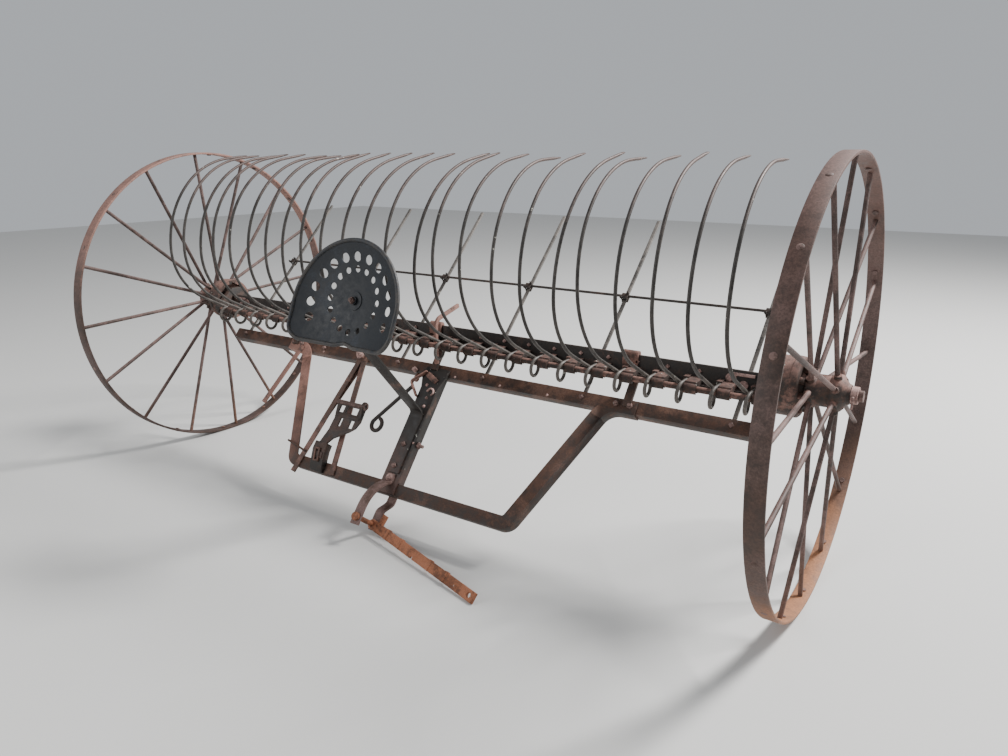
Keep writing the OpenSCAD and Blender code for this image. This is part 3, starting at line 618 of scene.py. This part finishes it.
def make_cleaner_rods():
    """The cleaner rods, a quarter narrower than their solids and rounded."""
    bm = node_copy("cleaner_rods")
    for v in bm.verts:
        middle = min(CLEANER_STEPS, key=lambda k: abs(v.co.x - k * TOOTH_PITCH)) * TOOTH_PITCH
        v.co.x = middle + CLEANER_NARROW * (v.co.x - middle)
    worn_edges(bm, CLEANER_WORN, 30, 3)
    new_piece(bm, "cleaner_rods_worn", "grey", "front_frame", 50.0, ("cleaner_rods",))


def make_trip_rod():
    """The trip rod, a little thicker than its solid."""
    bm = node_copy("trip_rod")
    bm.normal_update()
    for v in bm.verts:
        v.co += TRIP_SWELL * v.normal
    new_piece(bm, "trip_rod_worn", "head", "front_frame", 50.0, ("trip_rod",))


def make_bracket_mouth():
    """The raised lips of the pedal bracket's mouth, and a near-black block between them as painted shadow."""
    face = ON_FRAME @ at(PEDAL_X + 0.008, -0.604, -0.0170) @ turned(20, "X")
    bm = bmesh.new()
    for k in range(4):
        half, reach = ((MOUTH_HALF_X, MOUTH_HALF_Y), (MOUTH_HALF_Y, MOUTH_HALF_X))[k % 2]
        side = face @ turned(90 * k, "Z")
        block(bm, side @ at(reach - MOUTH_LIP, -half, -0.002) @ turned(90, "Z"), (2 * half, 0.007, 0.008),
              0.0015)
    new_piece(bm, "bracket_mouth", "braces", "front_frame")
    # A near-black block set inside the lips as painted shadow in the mouth.
    bm = bmesh.new()
    block(bm, face @ at(-0.026, 0, -0.003), (0.052, 0.024, 0.0042), 0.0004)
    new_piece(bm, "bracket_shade", "web", "front_frame")


class MakeFrame(bpy.types.Operator):
    """Dress the bars, tongue, braces and rods of the front frame, and the hand lever"""

    bl_idname = "hay_rake.front_frame"
    bl_label = "Front frame"

    def execute(self, context):
        for node, finish in (
            ("cross_bar", "bars"), ("draft_frame", "draft"), ("tongue", "web"), ("pedal_braces", "braces"),
            ("hinge_arms", "bars"), ("side_brace", "paint"), ("pedal_bracket", "head"),
            ("foot_pedal", "head"), ("latch_bracket", "paint"), ("hand_lever", "paint"),
            ("seat_spring", "web"),
        ):
            worn_node(node, finish)
        make_tread_bar()
        make_cleaner_rods()
        make_trip_rod()
        make_bracket_mouth()
        for node, finish in (("brace_tie", "bars"), ("cleaner_tie", "head")):
            paint_node(node, finish)
        return {"FINISHED"}


class MakeHitch(bpy.types.Operator):
    """Dress the clevis, its pin and the link that lies on the ground"""

    bl_idname = "hay_rake.hitch"
    bl_label = "Hitch"

    def execute(self, context):
        for node, finish in (("hitch_clevis", "strap"), ("hitch_link", "link"), ("hitch_pin", "link")):
            worn_node(node, finish)
        return {"FINISHED"}


class MakeHead(bpy.types.Operator):
    """Dress the rake head, its hinge castings and its end castings"""

    bl_idname = "hay_rake.head"
    bl_label = "Rake head"

    def execute(self, context):
        worn_node("head_bar", "head")
        worn_node("head_lugs", "paint", 0.0025)
        worn_node("tooth_holders", "coils", 0.0020)
        worn_node("end_castings", "head", 0.0025)
        for node, finish in (
            ("tooth_rod", "rod_paint"), ("hinge_pins", "bolts"), ("spindles", "bolts"),
            ("spindle_collars", "pale_bolts"),
        ):
            paint_node(node, finish)
        return {"FINISHED"}


# Bow of each tooth at its middle and lean of its tip, in millimetres to the right, and how tightly it curls
TOOTH_BENDS = (
    (-25, -30, 1.00), (-40, -50, 1.00), (-25, -20, 1.00), (-50, -40, 0.98), (-50, -35, 0.98),
    (-40, -30, 1.00), (-45, -50, 1.00), (-50, -30, 0.98), (-55, -55, 0.96), (-55, -50, 0.96),
    (-50, -45, 0.96), (-55, -40, 0.96), (-55, -55, 0.97), (-20, 0, 0.97), (-55, -55, 0.96),
    (-50, -50, 0.98), (-30, -50, 1.02), (-25, -30, 0.97), (0, 15, 0.96), (-40, -40, 1.02),
    (-15, -20, 1.00), (-5, -20, 0.96), (-5, -10, 1.00), (0, -10, 1.03),
)

# A tooth from its coil: runs, radii and angles of its arcs, its last run, and the rows of its flattened tip
TOOTH_START = 152
TOOTH_ARCS = ((0.130, 0.245, 66), (0, 0.430, 42), (0, 0.370, 38))
TIP_RUN = 0.068
TIP_ROWS = ((0.012, 0.80, 1.16), (0.016, 0.78, 1.12), (0.010, 0.80, 0.96), (0.002, 0.55, 0.70))

# The other way from there: how far the coil turns, how far it shifts sideways, and the tail into its holder
COIL_TURN = 330
COIL_SHIFT = 0.0155
TAIL_RUN = 0.060


def bow_tooth(verts, start, end, bow, lean):
    """Moves a tooth sideways along a smooth bow from its root to its tip."""
    chord = end - start
    for v in verts:
        share = max(0.0, (v.co - start).dot(chord) / chord.length_squared)
        v.co.x += (4 * bow - lean) * share + (2 * lean - 4 * bow) * share ** 2


class MakeTeeth(bpy.types.Operator):
    """Bend the spring teeth, each from its tail through its coil to a flattened tip"""

    bl_idname = "hay_rake.teeth"
    bl_label = "Spring teeth"

    def execute(self, context):
        sizes = context.scene.rake_sizes
        root_d = sizes.tooth_root_d
        bm = bmesh.new()
        for i, (bow, lean, curl) in enumerate(TOOTH_BENDS):
            coil = (ON_AXLE @ at(tooth_x(i), 0, 0) @ turned(90, "Z") @ turned(90, "X")
                    @ at(COIL_Y, COIL_Z, 0))
            root = coil @ turned(TOOTH_START, "Z") @ at(0, -COIL_R, 0)
            rows = [(run, radius, -angle * curl, 0) for run, radius, angle in TOOTH_ARCS]
            blade = bmesh.new()
            tip = bend_wire(blade, root, rows + [straight(TIP_RUN)], root_d, sizes.tooth_tip_d,
                            close_start=False, step_deg=4.0, tip=TIP_ROWS)
            bow_tooth(blade.verts, root.translation, tip.translation, bow / 1000, lean / 1000)
            mesh = bpy.data.meshes.new("blade")
            blade.to_mesh(mesh)
            blade.free()
            bm.from_mesh(mesh)
            bpy.data.meshes.remove(mesh)
            end = bend_wire(bm, root @ turned(180, "Z"), [(0, COIL_R, -COIL_TURN, COIL_SHIFT)],
                            root_d, root_d, step_deg=12.0, close_start=False)
            bend_wire(bm, end @ turned(-3.5, "Y"), [straight(TAIL_RUN)], root_d, root_d * 0.96)
        bmesh.ops.recalc_face_normals(bm, faces=bm.faces)
        new_piece(bm, "spring_teeth", "teeth", "rake_head", 50.0, ("teeth",))
        return {"FINISHED"}


# The seat's spring, as runs, radii and angles from its foot on the tongue, and how far it runs past the boss
SPRING_ROWS = ((0.227, 0.030, 80), (0.439, 0.070, -58), (0.112, 0, 0))
SPRING_Y = -0.585
SPRING_T = 0.008
SEAT_BACK = 0.045

# The seat pan: its dish, its outline of one wide arc and two corners with a notch between them, and its rim
DISH_R = 0.530
SEAT_W = 0.470
SEAT_L = 0.360
SEAT_ARC_R = SEAT_W / 2 + 0.002
SEAT_ARC_Y = -0.036
SEAT_CORNER_R = 0.060
SEAT_NOTCH_R = 0.060
SEAT_NOTCH_OUT = 0.050
SEAT_ROLL_R = 0.0075


def seat_place():
    """The boss of the seat, with +Y to its back and +Z out of its dish."""
    place = ON_FRAME @ at(0, SPRING_Y, TONGUE_TOP + SPRING_T / 2)
    for run, radius, angle in SPRING_ROWS:
        side = 1 if angle > 0 else -1
        place = place @ at(0, run, 0)
        if angle:
            place = place @ at(0, 0, side * radius) @ turned(angle, "X") @ at(0, 0, -side * radius)
    return place @ at(0, -SEAT_BACK, SPRING_T / 2)


def arc(x, y, radius, start_deg, turn_deg, steps):
    """Points along an arc about a centre, both of its ends among them."""
    angles = [math.radians(start_deg + turn_deg * k / steps) for k in range(steps + 1)]
    return [(x + radius * math.cos(a), y + radius * math.sin(a)) for a in angles]


def seat_edge():
    """Points round the seat's outline, from its front corner on the right round the back."""
    side = SEAT_W / 2
    front = SEAT_L - SEAT_ARC_R - SEAT_ARC_Y
    corner_x = side - SEAT_CORNER_R
    corner_y = SEAT_CORNER_R - front
    points = arc(corner_x, corner_y, SEAT_CORNER_R, -90, 90, 12)
    points += [(min(side, x), y) for x, y in arc(0, SEAT_ARC_Y, SEAT_ARC_R, 3, 174, 60)]
    points += arc(-corner_x, corner_y, SEAT_CORNER_R, 180, 90, 12)
    for k in range(1, 16):
        x = -corner_x * (1 - 2 * k / 16)
        notch = math.sqrt(max(0.0, SEAT_NOTCH_R ** 2 - x ** 2)) - SEAT_NOTCH_OUT
        points.append((x, -front + max(0.0, notch)))
    return points


def make_seat_rim(place):
    """The rolled rim of the seat, as a ring carried round the seat's edge."""
    dish = [DISH_R - math.sqrt(DISH_R ** 2 - x * x - y * y) + 0.001 for x, y in seat_edge()]
    edge = [Vector((x, y, z)) for (x, y), z in zip(seat_edge(), dish)]
    bm = bmesh.new()
    edges = None
    last = None
    count = len(edge)
    for k in range(count + 1):
        here = edge[k % count]
        ahead = (edge[(k + 1) % count] - edge[(k - 1) % count]).normalized()
        across = Vector((0, 0, 1)).cross(ahead).normalized()
        up = ahead.cross(across)
        now = place @ Matrix((
            (ahead.x, across.x, up.x, here.x), (ahead.y, across.y, up.y, here.y),
            (ahead.z, across.z, up.z, here.z), (0, 0, 0, 1)))
        if edges is None:
            edges = ring(bm, now, SEAT_ROLL_R, 12)
        else:
            edges = carry_ring(bm, edges, now @ last.inverted())
        last = now
    bmesh.ops.remove_doubles(bm, verts=bm.verts, dist=0.0003)
    bmesh.ops.recalc_face_normals(bm, faces=bm.faces)
    new_piece(bm, "seat_rolled_rim", "seat_rim", "front_frame", 60.0)


class MakeSeat(bpy.types.Operator):
    """Press the seat pan, roll its rim and bolt it to its spring"""

    bl_idname = "hay_rake.seat"
    bl_label = "Seat"

    def execute(self, context):
        bm = node_copy("seat_pan")
        new_piece(bm, "seat_shell", "seat", "front_frame", 30.0, ("seat_pan",))
        place = seat_place()
        make_seat_rim(place)
        bm = bmesh.new()
        bolt_on(bm, place @ at(0, 0, 0.016), 0.026, 0.010, 4, 0.006)
        new_piece(bm, "seat_bolt", "bolts", "front_frame")
        return {"FINISHED"}


# Raised rings of a hub, as closed outlines along and out from its axis, and the ribs of its bell
BELL_RING = (
    (-0.090, 0.0915), (-0.088, 0.0950), (-0.070, 0.0935), (-0.064, 0.0880), (-0.062, 0.0810),
    (-0.068, 0.0770), (-0.080, 0.0780),
)
NOSE_RING = (
    (0.012, 0.0475), (0.018, 0.0530), (0.026, 0.0560), (0.040, 0.0560), (0.048, 0.0520),
    (0.054, 0.0450), (0.030, 0.0450),
)
BARREL_RING = ((-0.056, 0.0470), (-0.050, 0.0530), (-0.030, 0.0530), (-0.022, 0.0475))
RIB_COUNT = 8
RIB_SIZE = (0.038, 0.018, 0.026)


def spoke_place(side, k, phase, along=0.0):
    """A place on a wheel's axis that looks along a spoke with its +Z and away from the rake with its +X."""
    return (at(side * (WHEEL_X + along), 0, AXLE_H) @ turned(0 if side > 0 else 180, "Z")
            @ turned(side * (90 - k * 360 / SPOKE_COUNT - phase), "X"))


def make_rim_fittings(side, name, phase, rivet_size):
    """The shoulders of the spokes inside a rim, and the rivet heads outside it."""
    shoulders = bmesh.new()
    rivets = bmesh.new()
    for k in range(SPOKE_COUNT):
        spoke = spoke_place(side, k, phase)
        head_on(shoulders, spoke @ at(0, 0, RIM_IN_R - 0.0045), 0.019, 0.004, 12)
        # A rivet that would stand out past the wheel's box is left off
        reach = spoke @ Vector((0, 0, RIM_R + 0.003))
        if max(abs(reach.y), abs(reach.z - AXLE_H)) < RIM_R - 0.0005:
            rivet_on(rivets, spoke @ at(0, 0, RIM_R - 0.0003), rivet_size, 0.0026)
    new_piece(shoulders, "spoke_shoulders_" + name, "spokes", "wheel_" + name)
    new_piece(rivets, "rim_rivets_" + name, "bolts", "wheel_" + name, 60.0)


def make_hub_casting(side, name, phase):
    """The raised rings of a hub, the ribs of its bell and the bosses round its spokes."""
    bm = bmesh.new()
    outwards = spoke_place(side, 0, phase)
    for outline in (BELL_RING, NOSE_RING, BARREL_RING):
        lathe(bm, outwards, outline)
    for k in range(RIB_COUNT):
        rib = outwards @ turned(k * 360 / RIB_COUNT + 12, "X") @ at(0, 0, 0.045) @ turned(-90, "Y")
        block(bm, rib @ at(0, 0, 0.050), RIB_SIZE, 0.004, (0.8, 0.75), 0.004)
    for k in range(SPOKE_COUNT):
        spoke = spoke_place(side, k, phase, OUTER_ROW if k % 2 else INNER_ROW)
        bmesh.ops.create_cone(bm, cap_ends=True, segments=16, radius1=0.0135, radius2=0.0100, depth=0.020,
                              matrix=spoke @ at(0, 0, 0.056))
    bmesh.ops.recalc_face_normals(bm, faces=bm.faces)
    new_piece(bm, "hub_casting_" + name, "hubs", "wheel_" + name, 40.0)


class MakeWheels(bpy.types.Operator):
    """Dress both wheels, rivet their spokes to their rims and cast the ribs and bosses of their hubs"""

    bl_idname = "hay_rake.wheels"
    bl_label = "Wheels"

    def execute(self, context):
        for side, name, phase in WHEELS:
            worn_node("rim_" + name, "rims" if side > 0 else "left_rim", 0.0018)
            paint_node("spokes_" + name, "spokes")
            paint_node("hub_" + name, "hubs")
            make_rim_fittings(side, name, phase, context.scene.rake_sizes.rivet_size)
            make_hub_casting(side, name, phase)
        return {"FINISHED"}


# Bolts and rivets: places along the bars, and places across and along the tongue
DRAFT_BOLTS_X = (-0.83, -0.78, 0.78, 0.83)
TONGUE_BOLTS_Y = (-0.56, -0.47)
TONGUE_RIVETS = ((0.008, -0.268), (0.012, -0.304), (-0.015, -0.215))
CROSS_RIVETS_X = (0.088, 0.507, 0.300, -0.640)
TONGUE_SIDE = 0.040
TONGUE_PIN_Y = -0.455
BOLT_FROM_TOOTH = 0.042
CLIP_HALF = 0.013
CLIP_T = 0.0045


def make_frame_bolts(size):
    """The bolts of the draft frame, the cleaner rods and the tongue."""
    bm = bmesh.new()
    for x in DRAFT_BOLTS_X:
        bolt_on(bm, ON_FRAME @ at(x, CROSS_Y + 0.024, FRAME_TOP) @ turned(20, "Z"), size, 0.009, 6, 0.006)
    for k in CLEANER_STEPS:
        bolt_on(bm, ON_FRAME @ at(k * TOOTH_PITCH, CROSS_Y + 0.026, FRAME_Z), size * 0.9, 0.008, 4, 0.006)
    pin = ON_FRAME @ at(TONGUE_SIDE, TONGUE_PIN_Y, -0.074) @ turned(90, "Y") @ turned(25, "Z")
    bolt_on(bm, pin, 0.028, 0.012, 4, 0.014)
    for y in TONGUE_BOLTS_Y:
        bolt_on(bm, ON_FRAME @ at(0, y, TONGUE_TOP + SPRING_T), size, 0.009, 4, 0.006)
    new_piece(bm, "frame_bolts", "bolts", "front_frame")


def make_pale_rivets():
    """The rivets of the clevis, tongue and cross bar, and the bolt at the top of the pedal braces."""
    bm = bmesh.new()
    rivet_on(bm, ON_FRAME @ at(0, -0.606, TONGUE_TOP + 0.0088), 0.030, 0.013)
    rivet_on(bm, ON_FRAME @ at(0.0345, TONGUE_PIN_Y, TONGUE_TOP - RIVET_SUNK), 0.009, 0.004)
    brace_top = ON_FRAME @ at(-0.396, -0.148, -0.029)
    head_on(bm, brace_top, 0.040, 0.003, 20, 0.0008)
    bolt_on(bm, brace_top @ at(0, 0, 0.0025) @ turned(30, "Z"), 0.031, 0.012, 4, 0.006)
    for x, y in TONGUE_RIVETS:
        rivet_on(bm, ON_FRAME @ at(x, y, TONGUE_TOP - RIVET_SUNK), 0.014, 0.005)
    for x in CROSS_RIVETS_X:
        rivet_on(bm, ON_FRAME @ at(x, CROSS_Y + 0.009, FRAME_Z - RIVET_SUNK), 0.010, 0.003)
    new_piece(bm, "pale_rivets", "pale_bolts", "front_frame", 50.0)


def make_latch_nut():
    """The square nut on the cross bar beside the latch, and the small hook on the tongue in front of it."""
    bm = bmesh.new()
    bolt_on(bm, ON_FRAME @ at(-0.110, CROSS_Y + 0.006, FRAME_Z) @ turned(12, "Z"), 0.026, 0.013, 4, 0.005)
    bend_wire(bm, ON_FRAME @ at(0.001, -0.244, TONGUE_TOP + 0.0035) @ turned(70, "Z"),
              [(0.006, 0.0145, -215, 0.0)], 0.0095, 0.0075, 8, 12.0)
    bmesh.ops.recalc_face_normals(bm, faces=bm.faces)
    new_piece(bm, "latch_nut_and_hook", "pale_bolts", "front_frame", 45.0)


def make_tie_clips():
    """The clips that hold the cleaner rods to their tie rod, each two plates and two bolts."""
    bm = bmesh.new()
    for k in CLEANER_STEPS:
        clip = ON_FRAME @ at(k * TOOTH_PITCH, CLEANER_TIE.y, CLEANER_TIE.z) @ turned(-7, "X")
        block(bm, clip @ at(-CLIP_HALF, 0, -0.0145), (2 * CLIP_HALF, 0.030, CLIP_T), 0.0012)
        block(bm, clip @ at(-CLIP_HALF, 0, 0.0040), (2 * CLIP_HALF, 0.024, CLIP_T), 0.0012)
        for side in (-1, 1):
            corner = clip @ at(side * 0.0105, side * 0.010, 0)
            bolt_on(bm, corner @ at(0, 0, 0.0080), 0.012, 0.006, 6, 0.006)
            head_on(bm, corner @ at(0, 0, -0.0125), 0.006, 0.018, 10, 0.0005)
    new_piece(bm, "tie_clips", "head", "front_frame", 40.0)


def make_head_bolts():
    """The bolts of the tooth holders and, at each end of the head bar, a bolt, a boss and a cleat."""
    bm = bmesh.new()
    for i in range(TOOTH_COUNT):
        bolt_on(bm, ON_AXLE @ at(tooth_x(i) + BOLT_FROM_TOOTH, HEAD_FACE_Y, 0.010) @ turned(90, "X"),
                0.017, 0.006, 4, 0.003)
    for side in (-1, 1):
        face = ON_AXLE @ at(side * 1.161, HEAD_FACE_Y, 0.002) @ turned(90, "X")
        head_on(bm, face, 0.036, 0.003, 20, 0.0008)
        bolt_on(bm, face @ at(0, 0, 0.0025), 0.024, 0.009, 4, 0.004)
        head_on(bm, ON_AXLE @ at(side * 1.2025, HEAD_FACE_Y, -0.014) @ turned(90, "X"), 0.030, 0.006, 18)
        block(bm, ON_AXLE @ at(side * 1.20 - 0.036, HEAD_FACE_Y - 0.0005, 0.019) @ turned(90, "X"),
              (0.072, 0.010, 0.006), 0.0015)
    new_piece(bm, "head_bolts", "pale_bolts", "rake_head")


class MakeFasteners(bpy.types.Operator):
    """Set the bolts, nuts, rivets and clips of the front frame and the rake head"""

    bl_idname = "hay_rake.fasteners"
    bl_label = "Fasteners"

    def execute(self, context):
        make_frame_bolts(context.scene.rake_sizes.bolt_size)
        make_pale_rivets()
        make_latch_nut()
        make_tie_clips()
        make_head_bolts()
        return {"FINISHED"}


FLOOR_COLOUR = (0.62, 0.61, 0.59, 1)
SKY_COLOUR = (0.86, 0.90, 0.95, 1)
SKY_SHARE = 0.54
CAMERA_PLACE = (1.865, -2.344, 1.354)
CAMERA_DOWN = 0.280
CAMERA_ACROSS = 0.593


def add_object(context, name, data):
    """Puts new data into the scene as an object."""
    made = bpy.data.objects.new(name, data)
    context.scene.collection.objects.link(made)
    return made


class MakeStage(bpy.types.Operator):
    """Lay the pale floor, hang the soft lights and set up the camera"""

    bl_idname = "hay_rake.stage"
    bl_label = "Stage"

    def execute(self, context):
        stage = context.scene.rake_stage
        bm = bmesh.new()
        bmesh.ops.create_grid(bm, x_segments=1, y_segments=1, size=stage.floor_half)
        mesh = bpy.data.meshes.new("floor")
        bm.to_mesh(mesh)
        bm.free()
        paint = Shader("pale floor")
        mesh.materials.append(paint.finish(FLOOR_COLOUR, 0.9, paint.noise(30.0), 0.05))
        floor = add_object(context, "floor", mesh)
        world = bpy.data.worlds.new("studio")
        world.use_nodes = True
        world.node_tree.nodes["Background"].inputs[0].default_value = SKY_COLOUR
        world.node_tree.nodes["Background"].inputs[1].default_value = SKY_SHARE
        context.scene.world = world
        for name, place, aim, size, power in (
            ("key", (4.2, 3.8, 6.0), (0, 0, 0.5), 1.8, stage.key_power),
            ("fill", (-3.0, -5.0, 3.4), (0, 0, 0.6), 3.5, stage.fill_power),
        ):
            light = bpy.data.lights.new(name, "AREA")
            light.size = size
            light.energy = power
            lamp = add_object(context, name, light)
            lamp.location = place
            lamp.rotation_euler = (Vector(aim) - Vector(place)).to_track_quat("-Z", "Y").to_euler()
        lens = bpy.data.cameras.new("camera")
        lens.lens = stage.focal
        lens.sensor_width = 36
        camera = add_object(context, "camera", lens)
        camera.location = CAMERA_PLACE
        camera.rotation_euler = (math.pi / 2 - CAMERA_DOWN, 0, CAMERA_ACROSS)
        context.scene.camera = camera
        return {"FINISHED"}


class HayRakePanel(bpy.types.Panel):
    """Sizes, colours and the operators, in the order in which they run"""

    bl_idname = "VIEW3D_PT_hay_rake"
    bl_label = "Sulky hay rake"
    bl_space_type = "VIEW_3D"
    bl_region_type = "UI"
    bl_category = "Hay rake"

    def draw(self, context):
        column = self.layout.column()
        for group in (context.scene.rake_looks, context.scene.rake_sizes, context.scene.rake_stage):
            for key in group.__annotations__:
                column.prop(group, key)
        for maker in MAKERS:
            column.operator(maker.bl_idname)


GROUPS = (RakeLooks, RakeSizes, RakeStage)
MAKERS = (
    MakeFinishes, MakeFrame, MakeHitch, MakeHead, MakeTeeth, MakeSeat, MakeWheels, MakeFasteners, MakeStage,
)


def register():
    for kind in GROUPS + MAKERS + (HayRakePanel,):
        bpy.utils.register_class(kind)
    bpy.types.Scene.rake_looks = PointerProperty(type=RakeLooks)
    bpy.types.Scene.rake_sizes = PointerProperty(type=RakeSizes)
    bpy.types.Scene.rake_stage = PointerProperty(type=RakeStage)


def unregister():
    for key in ("rake_looks", "rake_sizes", "rake_stage"):
        delattr(bpy.types.Scene, key)
    for kind in reversed(GROUPS + MAKERS + (HayRakePanel,)):
        bpy.utils.unregister_class(kind)


def main():
    register()
    bpy.ops.hay_rake.finishes()
    bpy.ops.hay_rake.front_frame()
    bpy.ops.hay_rake.hitch()
    bpy.ops.hay_rake.head()
    bpy.ops.hay_rake.teeth()
    bpy.ops.hay_rake.seat()
    bpy.ops.hay_rake.wheels()
    bpy.ops.hay_rake.fasteners()
    bpy.ops.hay_rake.stage()


if __name__ == "__main__":
    main()
